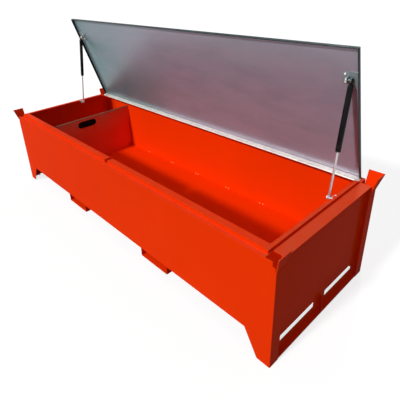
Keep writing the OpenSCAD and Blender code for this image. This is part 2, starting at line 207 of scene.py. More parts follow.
# %% Finishes
class Finish(NodeTree):
    """One material with its main shader, built up node by node."""

    def __init__(self, name, **plain):
        self.material = bpy.data.materials.new(name)
        super().__init__(self.material, "Principled BSDF")
        self.feed(**plain)
        # The point on the piece in metres, which stays with the piece when it moves
        self.place = self.node("ShaderNodeTexCoord", out="Object")

    def axis(self, number):
        """One coordinate of the place: 0 along the box, 1 across it, 2 its height."""
        return self.node("ShaderNodeSeparateXYZ", {}, {0: self.place}, number)

    def noise(self, scale, detail=3, rough=0.5, at=None):
        sockets = {"Vector": at or self.place}
        sockets.update({"Scale": scale, "Detail": detail, "Roughness": rough})
        return self.node("ShaderNodeTexNoise", {}, sockets, "Fac")

    def stretch(self, x, y, z):
        """Squeezes or stretches the place, so that a pattern runs along one way."""
        settings = {"operation": "MULTIPLY"}
        return self.node("ShaderNodeVectorMath", settings, {0: self.place, 1: (x, y, z)})

    def edges(self, radius):
        """Where the surface turns within the radius: 0 on flats, 1 right on an edge."""
        rounded = self.node("ShaderNodeBevel", {"samples": 6}, {"Radius": radius})
        flat = self.node("ShaderNodeNewGeometry", out="Normal")
        settings = {"operation": "DOT_PRODUCT"}
        same = self.node("ShaderNodeVectorMath", settings, {0: rounded, 1: flat}, "Value")
        return self.range(1 - same, 0.02, 0.28)

    def facing_up(self):
        """1 on what faces straight up, 0 on what leans by 45 degrees or more."""
        flat = self.node("ShaderNodeNewGeometry", out="True Normal")
        return self.range(self.node("ShaderNodeSeparateXYZ", {}, {0: flat}, 2), 0.7, 0.98)

    def dents(self, height, depth):
        """A bump from a height between 0 and 1, with its depth in metres."""
        sockets = {"Height": height, "Distance": depth, "Strength": 1.0}
        return self.node("ShaderNodeBump", {}, sockets)


print("finishes know", [name for name in vars(Finish) if not name.startswith("_")])

# %% [markdown]
# ## Floor and light
# The photo is cut out on white. The floor is a plain grey that bounces little light, and only
# what the camera sees directly, or in a mirror, is lifted to white. So the box stands on a
# pale floor with its shadow, and the white adds no light to the object.

# %% Floor
floor_grey = (0.28, 0.28, 0.28)
# Grey floor and lift together come out just under white, and darker in the box's shadow
floor_lift = (0.79, 0.79, 0.79)
floor_finish = Finish("studio_floor", Roughness=0.9, Specular_IOR_Level=0.0)
floor_finish.feed(Base_Color=floor_grey, Emission_Strength=1.0)
lifted = floor_finish.blend(floor_finish.seen_directly(), (0, 0, 0), floor_lift)
floor_finish.feed(Emission_Color=lifted)

studio = bmesh.new()
bmesh.ops.create_grid(studio, x_segments=1, y_segments=1, size=30)
floor_mesh = bpy.data.meshes.new("studio_floor")
studio.to_mesh(floor_mesh)
studio.free()
floor_mesh.materials.append(floor_finish.material)
floor = bpy.data.objects.new("studio_floor", floor_mesh)
bpy.context.collection.objects.link(floor)
floor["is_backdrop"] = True
print("floor at z =", floor.location.z)

# %% [markdown]
# The sky is a faint light from all sides, so that nothing turns quite black. It is seen as
# white, for the same reason as the floor. The Standard view shows colours as they are, where
# a film-like one would wash this strong orange out.

# %% World
studio_world = bpy.data.worlds.new("studio_world")
bpy.context.scene.world = studio_world
air = NodeTree(studio_world, "Background")
sky_light = 0.16
air.feed(Color=(1, 1, 1), Strength=air.range(air.seen_directly(), 0, 1, sky_light, 1.0))
bpy.context.scene.view_settings.view_transform = "Standard"
print("world light", sky_light)

# %% [markdown]
# The shadow line on the box's floor runs along the front wall, and the end panel is dark, so
# the main light comes from the front and a touch from the left, about 36 degrees up. A wide
# soft one from above stands for the open sky on what faces up. A weak one from behind keeps
# the back readable, and the lid shades the inside from it.

# %% Lamps
def lamp(name, azimuth, elevation, power, softness):
    """Light from a compass direction: azimuth 0 comes from the front, 90 from the right."""
    data = bpy.data.lights.new(name, "SUN")
    data.energy = power
    data.angle = math.radians(softness)
    made = bpy.data.objects.new(name, data)
    a, e = math.radians(azimuth), math.radians(elevation)
    source = Vector((math.sin(a) * math.cos(e), -math.cos(a) * math.cos(e), math.sin(e)))
    made.rotation_mode = "QUATERNION"
    made.rotation_quaternion = source.to_track_quat("Z", "Y")
    bpy.context.collection.objects.link(made)


lamp("key_lamp", azimuth=-5, elevation=36, power=2.78, softness=5)
lamp("top_lamp", azimuth=0, elevation=80, power=0.3, softness=40)
lamp("back_lamp", azimuth=205, elevation=40, power=0.8, softness=12)

# %% [markdown]
# ## Powder coat
# Powder coat is a baked plastic film. It is even from afar, with a fine orange-peel skin up close, a little
# thinner and paler over sharp edges, and chipped down to the grey primer where forks and floors touch it. Slow
# noise varies the colour, the skin is a bump, and the edges come from the Bevel node, whose rounded normal is
# compared with the real one. The rim's top is painted paler, and its ends a duller pink, as a painted sheen of the
# open sky on what faces up.

# %% Orange powder coat
def powder_coat(name, tone=(0.84, 0.036, 0.0004)):
    coat = Finish(name, Specular_IOR_Level=0.0, Coat_Weight=0.05, Coat_Roughness=0.25)
    deep = tuple(v * 0.93 for v in tone)
    thin = (min(1, tone[0] * 1.15), tone[1] * 2.6, tone[2] + 0.006)
    sky_sheen_pale, sky_sheen_dull, primer = (0.86, 0.055, 0.014), (0.66, 0.082, 0.033), (0.10, 0.085, 0.08)
    cloud = coat.range(coat.noise(2.2, 4), 0.3, 0.7)
    edge = coat.edges(0.0024)
    rubbed = edge * coat.range(coat.noise(26, 4, 0.6), 0.38, 0.62)
    colour = coat.blend(cloud, deep, tone)
    colour = coat.blend(rubbed * 0.7, colour, thin)
    # Of all that faces up, only the rim's top lies above 0.4 m; x * x is large at both ends
    rim = coat.facing_up() * coat.range(coat.axis(2), 0.395, 0.405)
    ends = coat.range(coat.axis(0) * coat.axis(0), 0.70, 0.74)
    patchy = coat.range(coat.noise(12, 5, 0.65), 0.25, 0.75, 0.35, 1.0)
    # Painted sheen: the rim's top paler and its ends a duller pink, broken into patches by noise
    colour = coat.blend(rim * patchy, colour, coat.blend(ends, sky_sheen_pale, sky_sheen_dull))
    # Chips sit on edges near the ground, where the feet and the fork pockets get knocked
    low = coat.range(coat.axis(2), 0.10, 0.02)
    chip = coat.range(coat.noise(160, 4, 0.65), 0.56, 0.60) * edge * low
    coat.colour = coat.blend(chip, colour, primer)
    dust = coat.range(coat.noise(9, 5, 0.65), 0.25, 0.75)
    coat.feed(Base_Color=coat.colour, Roughness=coat.range(dust + chip, 0, 1.5, 0.30, 0.50))
    coat.feed(Normal=coat.dents(coat.noise(420, 2) - chip * 0.8, 0.00012))
    return coat


orange = powder_coat("orange_powder_coat")
print("coat nodes", len(orange.tree.nodes))

# %% [markdown]
# The divider is lifted in and out by hand. Its coat is built again in a lighter orange than the box's, which is
# painted light for the light that falls on its face. Over that colour goes a brown film, whose strength grows with
# height and is broken up by noise, so the coat is browner and duller towards the top. The fold along the very top
# is painted darkest, a painted shade over the light it catches.

# %% The divider's coat, with painted light and shade
# A lighter orange than the box's: painted light on the divider's face
divider_coat = powder_coat("divider_coat_painted_light", (0.92, 0.075, 0.022))
brown_tone, painted_shade_tone = (0.60, 0.22, 0.135), (0.11, 0.045, 0.03)
brown_depth, fold_low, fold_high = 0.13, 0.0028, 0.0008
divider_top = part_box("divider_plate")[1].z
height = divider_coat.axis(2)
towards_top = divider_coat.range(height, divider_top - brown_depth, divider_top, 0.0, 0.85)
patch = divider_coat.range(divider_coat.noise(7, 5, 0.6), 0.34, 0.66, 0.15, 1.0)
brown_band = towards_top * patch
# Painted shade: the top fold darkest, over the light it catches
fold = divider_coat.range(height, divider_top - fold_low, divider_top - fold_high, 0.0, 0.85)
browned = divider_coat.blend(brown_band, divider_coat.colour, brown_tone)
divider_coat.feed(Base_Color=divider_coat.blend(fold, browned, painted_shade_tone))
divider_coat.feed(Roughness=divider_coat.range(brown_band, 0, 0.8, 0.34, 0.62))
print("grime starts at", round(divider_top - brown_depth, 3), "m")

# %% [markdown]
# ## The lid's zinc sheet
# The lid is thin sheet with a passivated zinc coat. The film is only a few light waves thick, and its tint drifts
# from blue-green to violet with its thickness, like oil on water. Its drift from teal at the left end to violet at
# the right is also a painted reflection of the box's orange inside. Under it lies the spangle, flat zinc crystals
# that differ a little in gloss: a Voronoi texture has just such cells. Faint long streaks come from rolling the
# sheet.

# %% Zinc lid
lid_zinc = Finish("passivated_zinc_sheet", Metallic=0.42)
teal, violet = (0.065, 0.205, 0.215), (0.43, 0.375, 0.49)
thin_film, smeared, bare_zinc = (0.19, 0.27, 0.31), (0.24, 0.25, 0.33), (0.34, 0.36, 0.37)
cells = {"Vector": lid_zinc.place, "Scale": 90.0}
crystals = lid_zinc.node("ShaderNodeTexVoronoi", {}, cells, "Color")
flake = lid_zinc.node("ShaderNodeSeparateColor", {}, {0: crystals}, 0)
streak = lid_zinc.noise(1.0, 4, 0.6, lid_zinc.stretch(3, 60, 60))
bloom = lid_zinc.noise(2.2, 3, 0.45)
# Teal at the left to violet at the right: zinc tint, partly a painted reflection of the orange inside
tint = lid_zinc.blend(lid_zinc.range(lid_zinc.axis(0) + bloom * 0.7, -0.42, 0.22), teal, violet)
# Towards the free edge, which is the top while the lid is open, the film thins out again
free_edge = lid_zinc.range(lid_zinc.axis(2) + bloom * 0.25, 0.76, 1.02, 0.0, 0.45)
tint = lid_zinc.blend(free_edge, tint, thin_film)
smear = lid_zinc.noise(1.0, 5, 0.6, lid_zinc.stretch(5, 14, 14))
tint = lid_zinc.blend(lid_zinc.range(smear, 0.42, 0.66, 0.0, 0.4), tint, smeared)
shade = lid_zinc.range(flake * 0.3 + streak * 0.4 + bloom * 0.3, 0.2, 0.8, 0.0, 0.4)
lid_zinc.feed(Base_Color=lid_zinc.blend(shade, tint, bare_zinc))
lid_zinc.feed(Roughness=lid_zinc.range(flake * 0.3 + bloom * 0.7, 0.2, 0.8, 0.30, 0.42))
lid_zinc.feed(Normal=lid_zinc.dents(streak, 0.00003))
print("lid finish", lid_zinc.material.name, "with", len(lid_zinc.tree.nodes), "nodes")

# %% [markdown]
# The folded edges round the lid are painted a dark slate grey, a painted shade and a painted dark reflection of
# the sky on the folds. So they get a finish of their own, with some wear along their very edges.

# %% Dark lid edges
lid_edge_painted_shade = Finish("zinc_edge_painted_shade", Specular_IOR_Level=0.1)
# Dark slate: painted shade and painted dark reflection on the lid's folded edges
slate, light_slate, rubbed_zinc = (0.012, 0.026, 0.028), (0.026, 0.044, 0.047), (0.16, 0.18, 0.19)
patchy = lid_edge_painted_shade.edges(0.0015) * lid_edge_painted_shade.range(lid_edge_painted_shade.noise(30, 4, 0.6), 0.35, 0.65)
mottle = lid_edge_painted_shade.blend(lid_edge_painted_shade.noise(14, 4, 0.6), slate, light_slate)
lid_edge_painted_shade.feed(Base_Color=lid_edge_painted_shade.blend(patchy * 0.5, mottle, rubbed_zinc))
lid_edge_painted_shade.feed(Roughness=lid_edge_painted_shade.range(lid_edge_painted_shade.noise(40, 3), 0.3, 0.7, 0.36, 0.52))
lid_edge_painted_shade.feed(Normal=lid_edge_painted_shade.dents(lid_edge_painted_shade.noise(260, 2), 0.00004))
print("edge finish", lid_edge_painted_shade.material.name)

# %% [markdown]
# ## Small metal and plastic parts
# Hinge, rivets and nuts are bright zinc plated, and the upper strut brackets have a duller,
# blue-green plating like the lid's. The struts' rods are hard chromed and smooth, because
# they slide through a seal. All of these are a metal with faint stains and fine brush marks
# along the box, so one function makes them, with noise that is stretched along that way.

# %% Bright zinc and chrome
def plated(name, tone, rough, metallic):
    made = Finish(name, Metallic=metallic)
    stain = made.range(made.noise(60, 4), 0.3, 0.7)
    brushed = made.noise(1.0, 3, 0.6, made.stretch(25, 900, 900))
    made.feed(Base_Color=made.blend(stain, tuple(v * 0.86 for v in tone), tone))
    made.feed(Roughness=made.range(brushed * 0.6 + stain * 0.4, 0.2, 0.8, rough, rough + 0.14))
    made.feed(Normal=made.dents(brushed, 0.00003))
    return made


hinge_zinc = plated("hinge_zinc", (0.95, 0.92, 0.83), 0.32, 0.5)
bright_zinc = plated("bright_zinc", (0.92, 0.93, 0.93), 0.30, 0.4)
bracket_zinc = plated("bracket_zinc", (0.27, 0.34, 0.35), 0.34, 0.4)
chrome = plated("chromed_rod", (0.62, 0.60, 0.61), 0.10, 0.55)
print("plated:", [f.material.name for f in (hinge_zinc, bright_zinc, bracket_zinc, chrome)])

# %% [markdown]
# The struts' tubes have a smooth black lacquer with a thin clear gloss. The divider's grip is
# moulded black plastic with a fine leather-like grain and no gloss. Both are nearly the same
# black and scuff at their edges, so they share a function and differ in grain and gloss.

# %% Black lacquer and black plastic
def black(name, rough, grain, depth, coat):
    made = Finish(name, Coat_Roughness=0.1, Coat_Weight=coat, Specular_IOR_Level=0.06)
    smear = made.range(made.noise(40, 4), 0.3, 0.7)
    scuff = made.edges(0.0012) * made.range(made.noise(90, 4, 0.6), 0.45, 0.65)
    deep, light, scuffed = (0.004, 0.004, 0.0045), (0.009, 0.009, 0.010), (0.05, 0.05, 0.05)
    made.feed(Base_Color=made.blend(scuff * 0.4, made.blend(smear, deep, light), scuffed))
    made.feed(Roughness=made.range(smear + scuff, 0, 1.5, rough, rough + 0.16))
    made.feed(Normal=made.dents(made.noise(grain, 2), depth))
    return made


lacquer = black("black_lacquer", 0.30, 300, 0.00003, 0.06)
grip_plastic = black("black_grip_plastic", 0.42, 700, 0.00012, 0.0)
print("black:", lacquer.material.name, grip_plastic.material.name)

# %% [markdown]
# ## Sheets that the drawing cuts up
# The drawing keeps wall, rim and lip apart, because simple blocks make better collision
# shapes. On the real box each wall is one sheet with its rim folded over. A Boolean union
# melts the blocks into one closed sheet again, and dissolving its flat edges leaves the
# folds alone, so that a bevel can round them without drawing seams that aren't there.

# %% Union of CAD nodes
split_gap = 0.00002


def closed_copy(name):
    """A copy of a node with its split corners closed, as a Boolean needs it."""
    mesh = bmesh.new()
    mesh.from_mesh(frame["nodes"][name].data)
    bmesh.ops.remove_doubles(mesh, verts=mesh.verts, dist=split_gap)
    data = bpy.data.meshes.new(name + "_copy")
    mesh.to_mesh(data)
    mesh.free()
    made = bpy.data.objects.new(name + "_copy", data)
    bpy.context.collection.objects.link(made)
    return made


def joined_sheet(nodes):
    """One closed mesh from nodes that touch each other."""
    copies = [closed_copy(name) for name in nodes]
    for other in copies[1:]:
        union = copies[0].modifiers.new("union", "BOOLEAN")
        union.operation = "UNION"
        union.solver = "EXACT"
        union.object = other
    view = bpy.context.evaluated_depsgraph_get()
    data = bpy.data.meshes.new_from_object(copies[0].evaluated_get(view))
    for copy in copies:
        bpy.data.objects.remove(copy)
    mesh = bmesh.new()
    mesh.from_mesh(data)
    flat = math.radians(1)
    bmesh.ops.dissolve_limit(mesh, angle_limit=flat, verts=mesh.verts, edges=mesh.edges)
    return mesh


print("corners closer than", split_gap * 1000, "mm are closed")

# %% [markdown]
# A razor-sharp edge catches no light and looks like cardboard. Modelling a round on each edge
# would be slow, so a Bevel modifier rounds whatever turns sharply, and Weighted Normal keeps
# the flats between them flat. Each new mesh becomes a piece in the same way: it gets its
# finish and rides on one of the frame's bodies, so that it moves with it.

# %% Pieces and soft edges
sharp_turn = math.radians(38)


def soft_edges(thing, width, segments=3):
    """Rounds every hard edge and keeps the flats flat."""
    bevel = thing.modifiers.new("soft_edges", "BEVEL")
    bevel.width = width
    bevel.segments = segments
    bevel.limit_method = "ANGLE"
    bevel.angle_limit = sharp_turn
    thing.modifiers.new("flat_flats", "WEIGHTED_NORMAL")


def piece(name, mesh, finish, body, smooth=35):
    """Turns a mesh into a named piece of the object that rides on a body."""
    bmesh.ops.recalc_face_normals(mesh, faces=mesh.faces)
    data = bpy.data.meshes.new(name)
    mesh.to_mesh(data)
    mesh.free()
    data.materials.append(finish.material)
    data.shade_smooth()
    data.set_sharp_from_angle(angle=math.radians(smooth))
    made = bpy.data.objects.new(name, data)
    bpy.context.collection.objects.link(made)
    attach(made, body)
    print(name, "rides on", body, "with", len(data.polygons), "faces")
    return made


print("edges that turn by over", round(math.degrees(sharp_turn)), "degrees get rounded")

# %% Walls and ends
sheets = {
    "front_sheet": ["front_wall", "front_rim", "front_lip", "front_ledge"],
    "back_sheet": ["back_wall", "back_rim"],
    "end_sheet_left": ["end_panel_left", "end_webs_left", "end_sill_left", "end_rib_left"],
    "end_sheet_right": ["end_panel_right", "end_webs_right", "end_sill_right", "end_rib_right"],
}
folded_edge = 0.0009
for name, nodes in sheets.items():
    made = piece(name, joined_sheet(nodes), orange, "box")
    soft_edges(made, folded_edge)
    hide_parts(*nodes)

# %% [markdown]
# ## Dressing the other CAD nodes
# Each other node of the model keeps its shape and gets its finish. Folded and cut sheet is
# never razor sharp, so a small bevel rounds every hard edge. The imported mesh has split
# corners, which a Weld modifier closes first, or the bevel would open gaps.

# %% Finishes on the nodes
slot_finish = {
    "orange_paint": orange,
    "galvanised_sheet": lid_zinc,
    "hinge_steel": hinge_zinc,
    "zinc_plate": bright_zinc,
    "black_lacquer": lacquer,
    "polished_rod": chrome,
}
own_finish = {
    "divider_plate": divider_coat,
    "lid_fold_front": lid_edge_painted_shade,
    "lid_fold_back": lid_zinc,
    "lid_fold_left": lid_edge_painted_shade,
    "lid_fold_right": lid_edge_painted_shade,
    "strut_bracket_lid_left": bracket_zinc,
    "strut_bracket_lid_right": bracket_zinc,
}
node_slot = {row["node"]: row["material_slot"] for row in frame["record"]["subparts"]}


def dress(name, width):
    node = frame["nodes"][name]
    finish = own_finish.get(name, slot_finish[node_slot[name]])
    if not node.data.materials:
        node.data.materials.append(finish.material)
    for place in node.material_slots:
        place.material = finish.material
    weld = node.modifiers.new("close_corners", "WELD")
    weld.merge_threshold = split_gap
    soft_edges(node, width, 2)


replaced = {name for nodes in sheets.values() for name in nodes}
small = ("strut", "hinge", "lid_fold")
fine_edge, sheet_edge = 0.0004, 0.0008
for name in frame["nodes"]:
    if name not in replaced:
        dress(name, fine_edge if name.startswith(small) else sheet_edge)
print("dressed", len(frame["nodes"]) - len(replaced), "nodes")

# %% [markdown]
# ## Two ways to make a solid
# Most small parts are either turned or drawn along a line. A lathe turns a profile about an
# axis, as for rivets and tubes. A sweep carries a flat section along a path, as for wire and
# weld beads. Both end in the same skin of faces between rings of points.

# %% Skin, lathe and sweep
def skin(mesh, rings, closed=False):
    """Faces between rings of points; a ring of one point becomes a tip."""
    pairs = list(zip(rings, rings[1:]))
    if closed:
        pairs.append((rings[-1], rings[0]))
    sides = max(len(ring) for ring in rings)
    for low, high in pairs:
        for i in range(sides):
            j = i + 1
            quad = [low[i % len(low)], low[j % len(low)], high[j % len(high)], high[i % len(high)]]
            mesh.faces.new(dict.fromkeys(quad))
    if not closed:
        for ring in (rings[0], rings[-1]):
            if len(ring) > 2:
                mesh.faces.new(ring)


def lathe(mesh, profile, base, way, sides=24, closed=False):
    """Turns pairs of distance along the way and radius, both in millimetres."""
    turn = Vector(way).to_track_quat("Z", "Y").to_matrix()
    rings = []
    for along, radius in profile:
        count = sides if radius else 1
        angles = [2 * math.pi * i / count for i in range(count)]
        spots = [Vector((radius * math.cos(a), radius * math.sin(a), along)) for a in angles]
        rings.append([mesh.verts.new(Vector(base) + turn @ spot / 1000) for spot in spots])
    skin(mesh, rings, closed)


def sweep(mesh, path, section, up, closed=False):
    """Carries a section of (sideways, upwards) pairs in millimetres along a path."""
    points = [Vector(point) for point in path]
    up = Vector(up)
    rings = []
    for i, point in enumerate(points):
        before = points[i - 1] if closed or i > 0 else point
        after = points[(i + 1) % len(points)] if closed or i + 1 < len(points) else point
        side = (after - before).cross(up).normalized()
        rings.append([mesh.verts.new(point + (side * a + up * b) / 1000) for a, b in section])
    skin(mesh, rings, closed)


print("solid makers:", [f.__name__ for f in (skin, lathe, sweep)])

# %% [markdown]
# ## Weld beads
# A hand-laid bead is a row of overlapping ripples that fill the corner between two plates,
# and paint covers it like everything else. Ring after ring is set along the corner, and a
# sine makes the rings swell and shrink once for each ripple. Thin sheet would warp under one
# long seam, so the welder lays short stitches.

# %% Weld beads
# Sections as shares of the bead's leg: one for an inside corner, one for a seam on a flat
corner_section = [
    (-0.12, -0.12), (1.0, -0.08), (0.82, 0.30), (0.56, 0.56), (0.30, 0.82), (-0.08, 1.0)
]
seam_section = [(1.0, -0.15), (0.72, 0.28), (0.0, 0.45), (-0.72, 0.28), (-1.0, -0.15)]
# A bead swells from its tip's share of the full size, and dips by a share between ripples
ring_step, tip_length, tip_share, dip_share = 0.0011, 0.004, 0.35, 0.20


def bead(mesh, start, end, u, v, section=corner_section, leg=0.0038, ripple=0.0032):
    """A bead from start to end; its section is drawn along the directions u and v."""
    start, end, u, v = (Vector(p) for p in (start, end, u, v))
    length = (end - start).length
    steps = round(length / ring_step)
    rings = []
    for i in range(steps + 1):
        along = i / steps * length
        wave = abs(math.sin(math.pi * along / ripple))
        taper = min(1.0, tip_share + min(along, length - along) / tip_length)
        size = leg * (1 - dip_share + dip_share * wave) * taper
        spot = start + (end - start) * i / steps
        rings.append([mesh.verts.new(spot + (u * a + v * b) * size) for a, b in section])
    skin(mesh, rings)


print("bead sections with", len(corner_section), "and", len(seam_section), "points")

# %% Beads at the ends
panel_x, post_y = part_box("end_panel_right")[1].xy
stitch_low, stitch_pitch, stitch_length, stitches = 0.022, 0.106, 0.045, 4
rib_stitch, rib_leg = 0.026, 0.003
for side, sx in (("left", -1), ("right", 1)):
    beads = bmesh.new()
    rib_low, rib_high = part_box("end_rib_" + side)
    for sy in (-1, 1):
        corner = (sx * panel_x, sy * post_y)
        for i in range(stitches):
            z = stitch_low + i * stitch_pitch
            bead(beads, (*corner, z), (*corner, z + stitch_length), (sx, 0, 0), (0, -sy, 0))
        corner = (sx * panel_x, sy * rib_high.y)
        for z in (rib_low.z + 0.002, rib_high.z - 0.004 - rib_stitch):
            ends = [(*corner, z), (*corner, z + rib_stitch)]
            bead(beads, *ends, (sx, 0, 0), (0, sy, 0), leg=rib_leg)
    piece("end_weld_beads_" + side, beads, orange, "box", 60)

# %% [markdown]
# The stacking corners carry the weight of a full box, so each plate has a seam right across
# its root, and the two plates of a back corner are joined by a bead inside their angle. The
# fork pockets hang from the walls' bottom flanges on short beads.

# %% Beads at the stacking corners and fork pockets
end_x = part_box("end_rail_right")[1].x
wall_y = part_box("back_wall")[1].y
sheet = 0.002
# Reach and end of a bead are both measured from the box's outer face
seam_reach, seam_end, seam_leg = 0.038, 0.003, 0.0028
corner_plate, corner_leg = 0.0042, 0.0032
pocket_reach, pocket_end, pocket_leg = 0.028, 0.001, 0.0035
for side, sx in (("left", -1), ("right", 1)):
    seams = bmesh.new()
    for place, sy in (("front", -1), ("back", 1)):
        low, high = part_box(f"lug_{place}_{side}")
        ends = [(sx * end_x, sy * (wall_y - d), low.z) for d in (seam_reach, seam_end)]
        bead(seams, *ends, (0, 0, 1), (sx, 0, 0), seam_section, seam_leg)
    # From here on low and high are those of the back corner, which has a second plate
    ends = [(sx * (end_x - d), wall_y, low.z) for d in (seam_reach, seam_end)]
    bead(seams, *ends, (0, 0, 1), (0, 1, 0), seam_section, seam_leg)
    inner = []
    for share in (0.5, 0.96):
        out = (high.y - wall_y) * share - corner_plate
        inner.append((sx * (end_x + out), wall_y + out, low.z + (high.z - low.z) * share))
    bead(seams, *inner, (-sx, 0, 0), (0, -1, 0), leg=corner_leg)
    low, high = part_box("fork_channel_" + side)
    for x, out in ((low.x, -1), (high.x, 1)):
        for sy in (-1, 1):
            ends = [(x, sy * (wall_y - d), high.z - sheet) for d in (pocket_end, pocket_reach)]
            bead(seams, *ends, (out, 0, 0), (0, 0, -1), leg=pocket_leg)
    piece("corner_weld_beads_" + side, seams, orange, "box", 60)

# %% [markdown]
# ## Spot welds on the floor
# Small tabs stand up along the floor's long sides, and each is pinched to the wall by two spot welds. Under paint
# a spot weld is a shallow round dimple with a raised ring. Its coat is painted a paler orange, a painted highlight
# for the glints on the welds.

# %% Spot welds
# Pairs of how far a point stands out of the tab and its distance from the weld's middle
dimple = [(-0.1, 0), (-0.1, 3.4), (0.25, 3.3), (0.42, 2.8), (0.25, 2.2), (0.1, 1.2), (0.1, 0)]
tab_middles, half_pitch = (-0.456, -0.237, -0.028, 0.195, 0.410), 0.009
tab_face = wall_y - 2 * sheet
tab_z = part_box("floor_panel")[1].z - 0.005
# A paler orange on the welds: painted highlight of their glints
weld_glint_coat = powder_coat("weld_coat_painted_highlight", (0.90, 0.22, 0.11))
spots = bmesh.new()
for x in tab_middles:
    for dx in (-half_pitch, half_pitch):
        for sy in (-1, 1):
            lathe(spots, dimple, (x + dx, sy * tab_face, tab_z), (0, -sy, 0), 16)
piece("floor_spot_welds", spots, weld_glint_coat, "box")

# %% [markdown]
# ## Rivets
# Blind rivets hold the hinge leaves and the strut brackets. A blind rivet has a low dome with
# a small hole in its middle, where the pulled pin broke off. One profile on the lathe makes
# them all. What sits on the lid is drawn with the lid shut, where its sides are square to
# the axes, and is then turned open by the same angle as the lid.

# %% Rivet and lid turn
def rivet(mesh, centre, way, radius=3.2, height=1.2):
    """A blind rivet's dome, from its rim over the top and down into the pin's hole."""
    dome = [(-0.2, 0), (-0.2, 1.0), (0.25, 1.0), (0.65, 0.86)]
    dome += [(0.92, 0.58), (1.0, 0.36), (0.55, 0.30), (0.55, 0)]
    lathe(mesh, [(height * a, radius * r) for a, r in dome], centre, way, 20)


def joint(name):
    return next(row for row in frame["joints"] if row["name"] == name)


open_angle = math.radians(joint("lid_hinge")["range_deg"][1])
hinge_axis = Vector(joint("lid_hinge")["pos_m"])
opened = Matrix.Translation(hinge_axis) @ Matrix.Rotation(-open_angle, 4, "X")
opened = opened @ Matrix.Translation(-hinge_axis)


def lid_piece(name, mesh, finish):
    """A piece on the lid, drawn with the lid shut."""
    bmesh.ops.transform(mesh, matrix=opened, verts=mesh.verts)
    piece(name, mesh, finish, "lid")


print("lid turns", round(math.degrees(open_angle), 1), "degrees about", tuple(hinge_axis))

# %% Hinge rivets
knuckle_pitch, leaf = 0.081, 0.0015
leaf_middle_y = hinge_axis.y + 0.015
leaf_top_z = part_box("back_rim")[1].z + leaf
on_box = bmesh.new()
for i in range(-5, 6):
    rivet(on_box, (2 * i * knuckle_pitch, leaf_middle_y, leaf_top_z), (0, 0, 1))
piece("hinge_rivets_box", on_box, bright_zinc, "box")

# The lid's back fold and the moving leaf lie face to face, so these rivets show on both
fold_inside_y, leaf_outside_y = hinge_axis.y - 0.0035, hinge_axis.y - 0.0005
fold_middle_z = hinge_axis.z + 0.0108
on_lid = bmesh.new()
for i in range(-5, 5):
    x = (2 * i + 1) * knuckle_pitch
    rivet(on_lid, (x, fold_inside_y, fold_middle_z), (0, -1, 0), 2.8, 1.0)
    rivet(on_lid, (x, leaf_outside_y, fold_middle_z), (0, 1, 0), 2.8, 1.0)
lid_piece("hinge_rivets_lid", on_lid, bright_zinc)

# %% [markdown]
# Each strut bracket is a bent plate with a stud. Two rivets hold it, and a nut, on the upper
# one with a washer, locks the stud from behind. The upper brackets' rivets go through the
# lid, so their other ends show on its outside. A nut is a lathe with only six sides, whose
# bevelled corners come from the profile.

# %% Bracket rivets and nuts
pivot_x, pivot_y, pivot_z = joint("strut_swing_right")["pos_m"]
# Where the upper studs are while the lid is shut
shut_y, shut_z = hinge_axis.y - 0.408, hinge_axis.z + 0.010
# A lower bracket stands outside the strut's plane, and an upper one inside it
low_pad_x, low_nut_x, low_rivets_y = pivot_x + 0.0165, pivot_x + 0.013, 0.013
high_pad_x, high_stud_x, high_rivets_y = pivot_x - 0.025, pivot_x - 0.013, 0.0135
lip_top_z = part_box("end_rail_right")[1].z
pad_under_z, lid_over_z = hinge_axis.z + 0.018, hinge_axis.z + 0.0215
washer_bore, washer_r, washer_thick = 3, 8, 1.4
washer = [(0, washer_bore), (0, washer_r), (washer_thick - 0.2, washer_r)]
washer += [(washer_thick, washer_r - 0.4), (washer_thick, washer_bore)]


def hex_nut(mesh, base, way, across, height, bore):
    """A nut with bevelled corners, from its width across the flats in millimetres."""
    r = across / 2 / math.cos(math.pi / 6)
    side = [(0, r * 0.92), (0.5, r), (height - 0.5, r), (height, r * 0.92)]
    lathe(mesh, [(0, bore), *side, (height, bore)], base, way, 6, closed=True)


for side, sx in (("left", -1), ("right", 1)):
    low_fixings = bmesh.new()
    for dy in (-low_rivets_y, low_rivets_y):
        rivet(low_fixings, (sx * low_pad_x, pivot_y + dy, lip_top_z), (0, 0, 1), 2.9, 1.4)
    hex_nut(low_fixings, (sx * low_nut_x, pivot_y, pivot_z), (sx, 0, 0), 10, 4, 3)
    piece("strut_fixings_box_" + side, low_fixings, bright_zinc, "box")
    high_fixings = bmesh.new()
    for dy in (-high_rivets_y, high_rivets_y):
        spot = Vector((sx * high_pad_x, shut_y + dy, 0))
        rivet(high_fixings, spot + Vector((0, 0, pad_under_z)), (0, 0, -1), 4.0, 2.0)
        rivet(high_fixings, spot + Vector((0, 0, lid_over_z)), (0, 0, 1), 3.4, 1.4)
    stud = Vector((sx * high_stud_x, shut_y, shut_z))
    lathe(high_fixings, washer, stud, (-sx, 0, 0), 28, closed=True)
    on_washer = stud - Vector((sx * washer_thick / 1000, 0, 0))
    hex_nut(high_fixings, on_washer, (-sx, 0, 0), 12, 5, 3)
    lid_piece("strut_fixings_lid_" + side, high_fixings, bright_zinc)

# %% [markdown]
# The thin lid would dent where a strut pushes, so a backing plate with round corners lies
# beside the bracket and spreads the push as far as the lid's side fold. Its outline is a
# rectangle with arcs at the corners, stacked in three rings. The last ring is drawn in a
# little, which blunts the edge without a modifier.

# %% Backing plates
def rounded_outline(low, high, radius, steps=5):
    """The outline of a rectangle with round corners, as (x, y) pairs."""
    corners = ((high[0], high[1]), (low[0], high[1]), low, (high[0], low[1]))
    spots = []
    for k, (x, y) in enumerate(corners):
        centre_x = x - radius if x == high[0] else x + radius
        centre_y = y - radius if y == high[1] else y + radius
        for i in range(steps + 1):
            a = (k + i / steps) * math.pi / 2
            spots.append((centre_x + radius * math.cos(a), centre_y + radius * math.sin(a)))
    return spots


plate_inner, plate_outer = pivot_x - 0.0125, pivot_x + 0.0195
plate_half, plate_round = 0.025, 0.004
lid_under_z = hinge_axis.z + 0.020
